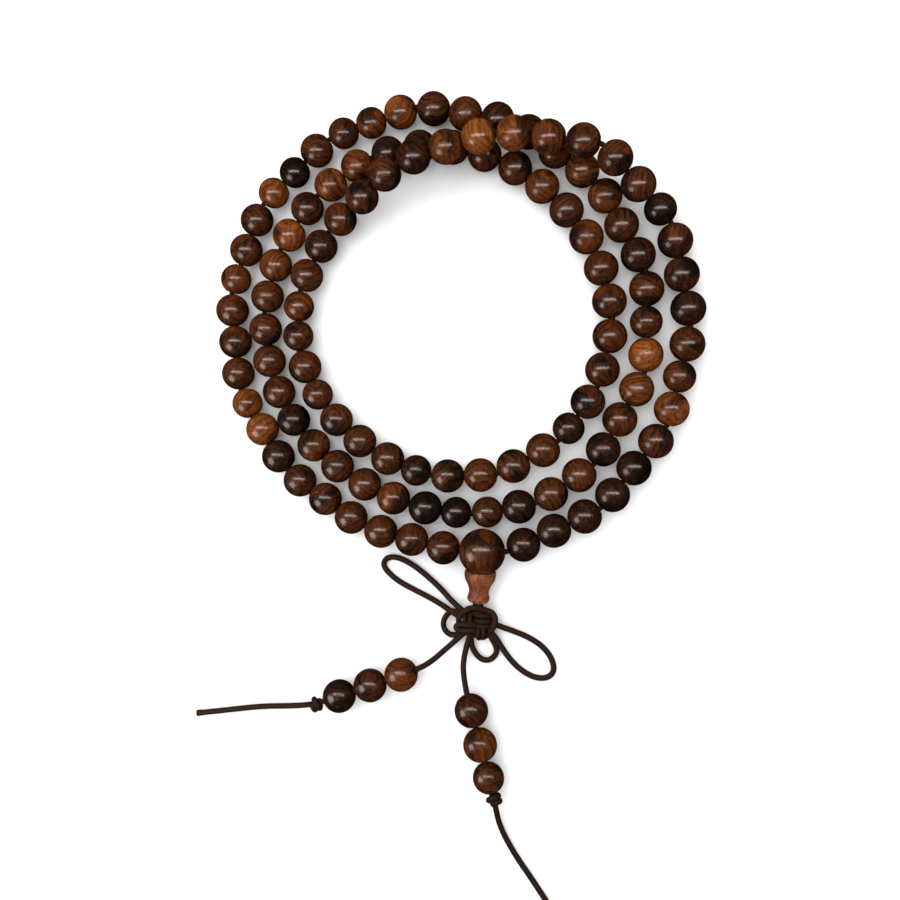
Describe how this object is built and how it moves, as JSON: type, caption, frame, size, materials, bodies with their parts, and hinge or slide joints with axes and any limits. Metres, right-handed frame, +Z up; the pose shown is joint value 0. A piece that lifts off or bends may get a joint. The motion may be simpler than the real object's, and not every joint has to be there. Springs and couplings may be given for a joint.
{
  "type": "mala prayer beads",
  "caption": "String of round wooden prayer beads wound in three turns, with a guru bead, a tower bead, a bow knot and two tails with counter beads.",
  "frame": {"origin": "middle of the coiled strand, on the table under the beads", "axes": "+Z up from the table, -Y from the middle of the coil towards the guru bead and its knot, +X to the right"},
  "size_m": [0.1237, 0.1979, 0.0163],
  "materials": {
    "bead_wood": "polished dark rosewood",
    "guru_wood": "polished dark rosewood",
    "tower_wood": "sanded reddish rosewood, satin",
    "cord": "tightly braided dark brown cord"
  },
  "bodies": {
    "root": {"strand_cord": "cord", "guru_bead": "guru_wood", "knot": "cord", "upper_bow": "cord", "lower_bow": "cord", "left_tail_cord": "cord", "right_tail_cord": "cord", "left_stopper_knot": "cord", "right_stopper_knot": "cord"},
    "strand_beads_001_to_003": {"strand_beads_001_to_003": "bead_wood"},
    "strand_beads_004_to_006": {"strand_beads_004_to_006": "bead_wood"},
    "strand_beads_007_to_009": {"strand_beads_007_to_009": "bead_wood"},
    "strand_beads_010_to_012": {"strand_beads_010_to_012": "bead_wood"},
    "strand_beads_013_to_015": {"strand_beads_013_to_015": "bead_wood"},
    "strand_beads_016_to_018": {"strand_beads_016_to_018": "bead_wood"},
    "strand_beads_019_to_021": {"strand_beads_019_to_021": "bead_wood"},
    "strand_beads_022_to_024": {"strand_beads_022_to_024": "bead_wood"},
    "strand_beads_025_to_027": {"strand_beads_025_to_027": "bead_wood"},
    "strand_beads_028_to_030": {"strand_beads_028_to_030": "bead_wood"},
    "strand_beads_031_to_033": {"strand_beads_031_to_033": "bead_wood"},
    "strand_beads_034_to_036": {"strand_beads_034_to_036": "bead_wood"},
    "strand_beads_037_to_038": {"strand_beads_037_to_038": "bead_wood"},
    "strand_beads_039_to_040": {"strand_beads_039_to_040": "bead_wood"},
    "strand_beads_041_to_042": {"strand_beads_041_to_042": "bead_wood"},
    "strand_beads_043_to_044": {"strand_beads_043_to_044": "bead_wood"},
    "strand_beads_045_to_046": {"strand_beads_045_to_046": "bead_wood"},
    "strand_beads_047_to_048": {"strand_beads_047_to_048": "bead_wood"},
    "strand_beads_049_to_050": {"strand_beads_049_to_050": "bead_wood"},
    "strand_beads_051_to_052": {"strand_beads_051_to_052": "bead_wood"},
    "strand_beads_053_to_054": {"strand_beads_053_to_054": "bead_wood"},
    "strand_beads_055_to_056": {"strand_beads_055_to_056": "bead_wood"},
    "strand_beads_057_to_058": {"strand_beads_057_to_058": "bead_wood"},
    "strand_beads_059_to_060": {"strand_beads_059_to_060": "bead_wood"},
    "strand_beads_061_to_062": {"strand_beads_061_to_062": "bead_wood"},
    "strand_beads_063_to_064": {"strand_beads_063_to_064": "bead_wood"},
    "strand_beads_065_to_066": {"strand_beads_065_to_066": "bead_wood"},
    "strand_beads_067_to_068": {"strand_beads_067_to_068": "bead_wood"},
    "strand_beads_069_to_070": {"strand_beads_069_to_070": "bead_wood"},
    "strand_beads_071_to_072": {"strand_beads_071_to_072": "bead_wood"},
    "strand_beads_073_to_074": {"strand_beads_073_to_074": "bead_wood"},
    "strand_beads_075_to_076": {"strand_beads_075_to_076": "bead_wood"},
    "strand_beads_077_to_078": {"strand_beads_077_to_078": "bead_wood"},
    "strand_beads_079_to_080": {"strand_beads_079_to_080": "bead_wood"},
    "strand_beads_081_to_082": {"strand_beads_081_to_082": "bead_wood"},
    "strand_beads_083_to_084": {"strand_beads_083_to_084": "bead_wood"},
    "strand_beads_085_to_087": {"strand_beads_085_to_087": "bead_wood"},
    "strand_beads_088_to_090": {"strand_beads_088_to_090": "bead_wood"},
    "strand_beads_091_to_093": {"strand_beads_091_to_093": "bead_wood"},
    "strand_beads_094_to_096": {"strand_beads_094_to_096": "bead_wood"},
    "strand_beads_097_to_099": {"strand_beads_097_to_099": "bead_wood"},
    "strand_beads_100_to_102": {"strand_beads_100_to_102": "bead_wood"},
    "strand_beads_103_to_105": {"strand_beads_103_to_105": "bead_wood"},
    "strand_beads_106_to_108": {"strand_beads_106_to_108": "bead_wood"},
    "tower_bead": {"tower_bead": "tower_wood"},
    "left_counter_bead_3": {"left_counter_bead_3": "bead_wood"},
    "left_counter_bead_2": {"left_counter_bead_2": "bead_wood"},
    "left_counter_bead_1": {"left_counter_bead_1": "bead_wood"},
    "right_counter_bead_3": {"right_counter_bead_3": "bead_wood"},
    "right_counter_bead_2": {"right_counter_bead_2": "bead_wood"},
    "right_counter_bead_1": {"right_counter_bead_1": "bead_wood"}
  },
  "joints": [
    {"name": "spin_001_to_003", "type": "hinge", "parent": "root", "child": "strand_beads_001_to_003", "pos_m": [-0.00376, -0.05433, 0.004], "axis": [-0.9731, 0.2303, 0], "continuous": true},
    {"name": "spin_004_to_006", "type": "hinge", "parent": "root", "child": "strand_beads_004_to_006", "pos_m": [-0.02629, -0.04748, 0.004], "axis": [-0.8246, 0.5658, 0], "continuous": true},
    {"name": "spin_007_to_009", "type": "hinge", "parent": "root", "child": "strand_beads_007_to_009", "pos_m": [-0.04469, -0.03282, 0.004], "axis": [-0.5217, 0.8531, 0], "continuous": true},
    {"name": "spin_010_to_012", "type": "hinge", "parent": "root", "child": "strand_beads_010_to_012", "pos_m": [-0.05507, -0.01242, 0.004], "axis": [-0.0983, 0.9952, 0], "continuous": true},
    {"name": "spin_013_to_015", "type": "hinge", "parent": "root", "child": "strand_beads_013_to_015", "pos_m": [-0.05566, 0.01079, 0.004], "axis": [0.3545, 0.9351, 0], "continuous": true},
    {"name": "spin_016_to_018", "type": "hinge", "parent": "root", "child": "strand_beads_016_to_018", "pos_m": [-0.0459, 0.0315, 0.004], "axis": [0.749, 0.6626, 0], "continuous": true},
    {"name": "spin_019_to_021", "type": "hinge", "parent": "root", "child": "strand_beads_019_to_021", "pos_m": [-0.02818, 0.04503, 0.004], "axis": [0.9589, 0.2836, 0], "continuous": true},
    {"name": "spin_022_to_024", "type": "hinge", "parent": "root", "child": "strand_beads_022_to_024", "pos_m": [-0.00607, 0.04945, 0.004], "axis": [0.9748, -0.2231, 0], "continuous": true},
    {"name": "spin_025_to_027", "type": "hinge", "parent": "root", "child": "strand_beads_025_to_027", "pos_m": [0.0164, 0.04253, 0.004], "axis": [0.7902, -0.6129, 0], "continuous": true},
    {"name": "spin_028_to_030", "type": "hinge", "parent": "root", "child": "strand_beads_028_to_030", "pos_m": [0.03392, 0.02683, 0.004], "axis": [0.4731, -0.881, 0], "continuous": true},
    {"name": "spin_031_to_033", "type": "hinge", "parent": "root", "child": "strand_beads_031_to_033", "pos_m": [0.04321, 0.00527, 0.004], "axis": [-0.014, -0.9999, 0], "continuous": true},
    {"name": "spin_034_to_036", "type": "hinge", "parent": "root", "child": "strand_beads_034_to_036", "pos_m": [0.04095, -0.01748, 0.004], "axis": [-0.4814, -0.8765, 0], "continuous": true},
    {"name": "spin_037_to_038", "type": "hinge", "parent": "root", "child": "strand_beads_037_to_038", "pos_m": [0.02803, -0.0371, 0.004], "axis": [-0.8284, -0.5602, 0], "continuous": true},
    {"name": "spin_039_to_040", "type": "hinge", "parent": "root", "child": "strand_beads_039_to_040", "pos_m": [0.01412, -0.04449, 0.004], "axis": [-0.9844, -0.1758, 0], "continuous": true},
    {"name": "spin_041_to_042", "type": "hinge", "parent": "root", "child": "strand_beads_041_to_042", "pos_m": [-0.00068, -0.04597, 0.004], "axis": [-0.9912, 0.1322, 0], "continuous": true},
    {"name": "spin_043_to_044", "type": "hinge", "parent": "root", "child": "strand_beads_043_to_044", "pos_m": [-0.01583, -0.04276, 0.004], "axis": [-0.9093, 0.4162, 0], "continuous": true},
    {"name": "spin_045_to_046", "type": "hinge", "parent": "root", "child": "strand_beads_045_to_046", "pos_m": [-0.02971, -0.03521, 0.004], "axis": [-0.7638, 0.6454, 0], "continuous": true},
    {"name": "spin_047_to_048", "type": "hinge", "parent": "root", "child": "strand_beads_047_to_048", "pos_m": [-0.04076, -0.02396, 0.004], "axis": [-0.482, 0.8762, 0], "continuous": true},
    {"name": "spin_049_to_050", "type": "hinge", "parent": "root", "child": "strand_beads_049_to_050", "pos_m": [-0.04702, -0.00948, 0.004], "axis": [-0.1299, 0.9915, 0], "continuous": true},
    {"name": "spin_051_to_052", "type": "hinge", "parent": "root", "child": "strand_beads_051_to_052", "pos_m": [-0.04749, 0.00627, 0.004], "axis": [0.2618, 0.9651, 0], "continuous": true},
    {"name": "spin_053_to_054", "type": "hinge", "parent": "root", "child": "strand_beads_053_to_054", "pos_m": [-0.04195, 0.02103, 0.004], "axis": [0.5943, 0.8043, 0], "continuous": true},
    {"name": "spin_055_to_056", "type": "hinge", "parent": "root", "child": "strand_beads_055_to_056", "pos_m": [-0.0314, 0.03274, 0.004], "axis": [0.852, 0.5236, 0], "continuous": true},
    {"name": "spin_057_to_058", "type": "hinge", "parent": "root", "child": "strand_beads_057_to_058", "pos_m": [-0.01719, 0.03953, 0.004], "axis": [0.9907, 0.1363, 0], "continuous": true},
    {"name": "spin_059_to_060", "type": "hinge", "parent": "root", "child": "strand_beads_059_to_060", "pos_m": [-0.00144, 0.04004, 0.004], "axis": [0.9622, -0.2724, 0], "continuous": true},
    {"name": "spin_061_to_062", "type": "hinge", "parent": "root", "child": "strand_beads_061_to_062", "pos_m": [0.01327, 0.03436, 0.004], "axis": [0.8024, -0.5968, 0], "continuous": true},
    {"name": "spin_063_to_064", "type": "hinge", "parent": "root", "child": "strand_beads_063_to_064", "pos_m": [0.02515, 0.02397, 0.004], "axis": [0.5791, -0.8152, 0], "continuous": true},
    {"name": "spin_065_to_066", "type": "hinge", "parent": "root", "child": "strand_beads_065_to_066", "pos_m": [0.03302, 0.0103, 0.004], "axis": [0.2394, -0.9709, 0], "continuous": true},
    {"name": "spin_067_to_068", "type": "hinge", "parent": "root", "child": "strand_beads_067_to_068", "pos_m": [0.03498, -0.0053, 0.004], "axis": [-0.2161, -0.9764, 0], "continuous": true},
    {"name": "spin_069_to_070", "type": "hinge", "parent": "root", "child": "strand_beads_069_to_070", "pos_m": [0.03, -0.02025, 0.004], "axis": [-0.5872, -0.8094, 0], "continuous": true},
    {"name": "spin_071_to_072", "type": "hinge", "parent": "root", "child": "strand_beads_071_to_072", "pos_m": [0.01974, -0.03135, 0.004], "axis": [-0.8804, -0.4742, 0], "continuous": true},
    {"name": "spin_073_to_074", "type": "hinge", "parent": "root", "child": "strand_beads_073_to_074", "pos_m": [0.00511, -0.03715, 0.004], "axis": [-0.9994, -0.0337, 0], "continuous": true},
    {"name": "spin_075_to_076", "type": "hinge", "parent": "root", "child": "strand_beads_075_to_076", "pos_m": [-0.01031, -0.03613, 0.004], "axis": [-0.9275, 0.3738, 0], "continuous": true},
    {"name": "spin_077_to_078", "type": "hinge", "parent": "root", "child": "strand_beads_077_to_078", "pos_m": [-0.02411, -0.02913, 0.004], "axis": [-0.7525, 0.6586, 0], "continuous": true},
    {"name": "spin_079_to_080", "type": "hinge", "parent": "root", "child": "strand_beads_079_to_080", "pos_m": [-0.0347, -0.01786, 0.004], "axis": [-0.4311, 0.9023, 0], "continuous": true},
    {"name": "spin_081_to_082", "type": "hinge", "parent": "root", "child": "strand_beads_081_to_082", "pos_m": [-0.03963, -0.00356, 0.004], "axis": [0.0219, 0.9998, 0], "continuous": true},
    {"name": "spin_083_to_084", "type": "hinge", "parent": "root", "child": "strand_beads_083_to_084", "pos_m": [-0.03746, 0.01109, 0.004], "axis": [0.4657, 0.8849, 0], "continuous": true},
    {"name": "spin_085_to_087", "type": "hinge", "parent": "root", "child": "strand_beads_085_to_087", "pos_m": [-0.02866, 0.02402, 0.00524], "axis": [0.7746, 0.5581, 0.2975], "continuous": true},
    {"name": "spin_088_to_090", "type": "hinge", "parent": "root", "child": "strand_beads_088_to_090", "pos_m": [-0.00935, 0.03594, 0.01133], "axis": [0.9739, 0.2205, 0.054], "continuous": true},
    {"name": "spin_091_to_093", "type": "hinge", "parent": "root", "child": "strand_beads_091_to_093", "pos_m": [0.01388, 0.03962, 0.01227], "axis": [0.9861, -0.1632, -0.0313], "continuous": true},
    {"name": "spin_094_to_096", "type": "hinge", "parent": "root", "child": "strand_beads_094_to_096", "pos_m": [0.03627, 0.0334, 0.01032], "axis": [0.649, -0.6943, -0.3111], "continuous": true},
    {"name": "spin_097_to_099", "type": "hinge", "parent": "root", "child": "strand_beads_097_to_099", "pos_m": [0.04951, 0.01591, 0.00428], "axis": [0.1823, -0.9831, -0.0143], "continuous": true},
    {"name": "spin_100_to_102", "type": "hinge", "parent": "root", "child": "strand_beads_100_to_102", "pos_m": [0.05215, -0.00747, 0.004], "axis": [-0.2304, -0.9731, 0], "continuous": true},
    {"name": "spin_103_to_105", "type": "hinge", "parent": "root", "child": "strand_beads_103_to_105", "pos_m": [0.04521, -0.02928, 0.004], "axis": [-0.6191, -0.7853, 0], "continuous": true},
    {"name": "spin_106_to_108", "type": "hinge", "parent": "root", "child": "strand_beads_106_to_108", "pos_m": [0.02928, -0.04657, 0.004], "axis": [-0.9012, -0.4334, 0], "continuous": true},
    {"name": "tower_spin", "type": "hinge", "parent": "root", "child": "tower_bead", "pos_m": [0.00568, -0.055, 0.0054], "axis": [-0.1029, -0.9795, -0.1734], "continuous": true},
    {"name": "left_slide_3", "type": "slide", "parent": "root", "child": "left_counter_bead_3", "axis": [0.9348, 0.3551, 0], "range_m": [0, 0.0008]},
    {"name": "left_slide_2", "type": "slide", "parent": "left_counter_bead_3", "child": "left_counter_bead_2", "axis": [0.9348, 0.3551, 0], "range_m": [0, 0.0008]},
    {"name": "left_slide_1", "type": "slide", "parent": "left_counter_bead_2", "child": "left_counter_bead_1", "axis": [0.9348, 0.3551, 0], "range_m": [0, 0.0008]},
    {"name": "right_slide_3", "type": "slide", "parent": "root", "child": "right_counter_bead_3", "axis": [-0.2538, 0.9673, 0], "range_m": [0, 0.0008]},
    {"name": "right_slide_2", "type": "slide", "parent": "right_counter_bead_3", "child": "right_counter_bead_2", "axis": [-0.2538, 0.9673, 0], "range_m": [0, 0.0008]},
    {"name": "right_slide_1", "type": "slide", "parent": "right_counter_bead_2", "child": "right_counter_bead_1", "axis": [-0.2538, 0.9673, 0], "range_m": [0, 0.0008]}
  ]
}
